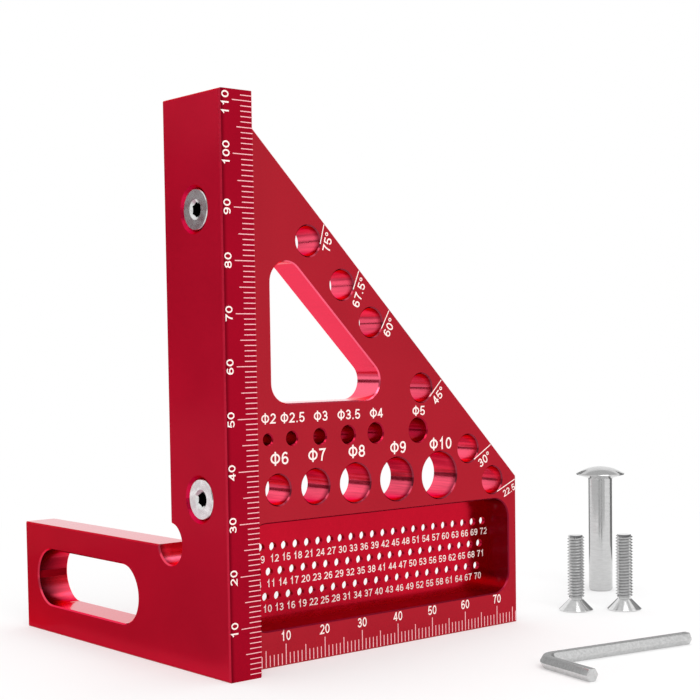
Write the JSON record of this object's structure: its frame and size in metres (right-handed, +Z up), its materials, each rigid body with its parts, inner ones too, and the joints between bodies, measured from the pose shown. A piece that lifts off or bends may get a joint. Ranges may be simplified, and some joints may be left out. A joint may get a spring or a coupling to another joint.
{
  "type": "multi-angle marking ruler",
  "caption": "L-shaped fence with a scale strip and slotted foot, screwed to a triangular plate with angle holes, gauge holes, a window and a pencil pocket; loose pin, key and screws",
  "frame": {"origin": "zero point of the base scale, where the inner face of the fence, the front face of the plate and the base meet", "axes": "+X along the base scale, away from the fence; +Y back from the front of the plate, along the foot; +Z up the fence"},
  "size_m": [0.1365, 0.1273, 0.112],
  "materials": {
    "red_anodised": "satin red anodised",
    "screw_steel": "bright zinc plated",
    "pin_steel": "turned and plated",
    "key_steel": "nickel plated"
  },
  "bodies": {
    "ruler": {"fence": "red_anodised", "triangle_plate": "red_anodised"},
    "upper_screw": {"fence_screw_upper": "screw_steel"},
    "lower_screw": {"fence_screw_lower": "screw_steel"},
    "pin": {"angle_pin": "pin_steel"},
    "key": {"hex_key": "key_steel"},
    "loose_screw_1": {"spare_screw_1": "screw_steel"},
    "loose_screw_2": {"spare_screw_2": "screw_steel"}
  },
  "joints": [
    {"name": "upper_screw_out", "type": "slide", "parent": "ruler", "child": "upper_screw", "axis": [-1, 0, 0], "range_m": [0, 0.013]},
    {"name": "lower_screw_out", "type": "slide", "parent": "ruler", "child": "lower_screw", "axis": [-1, 0, 0], "range_m": [0, 0.013]},
    {"name": "pin_lift", "type": "slide", "parent": "ruler", "child": "pin", "axis": [0, 0, 1], "range_m": [0, 0.06]},
    {"name": "key_lift", "type": "slide", "parent": "ruler", "child": "key", "axis": [0, 0, 1], "range_m": [0, 0.06]},
    {"name": "loose_screw_1_lift", "type": "slide", "parent": "ruler", "child": "loose_screw_1", "axis": [0, 0, 1], "range_m": [0, 0.06]},
    {"name": "loose_screw_2_lift", "type": "slide", "parent": "ruler", "child": "loose_screw_2", "axis": [0, 0, 1], "range_m": [0, 0.06]}
  ]
}
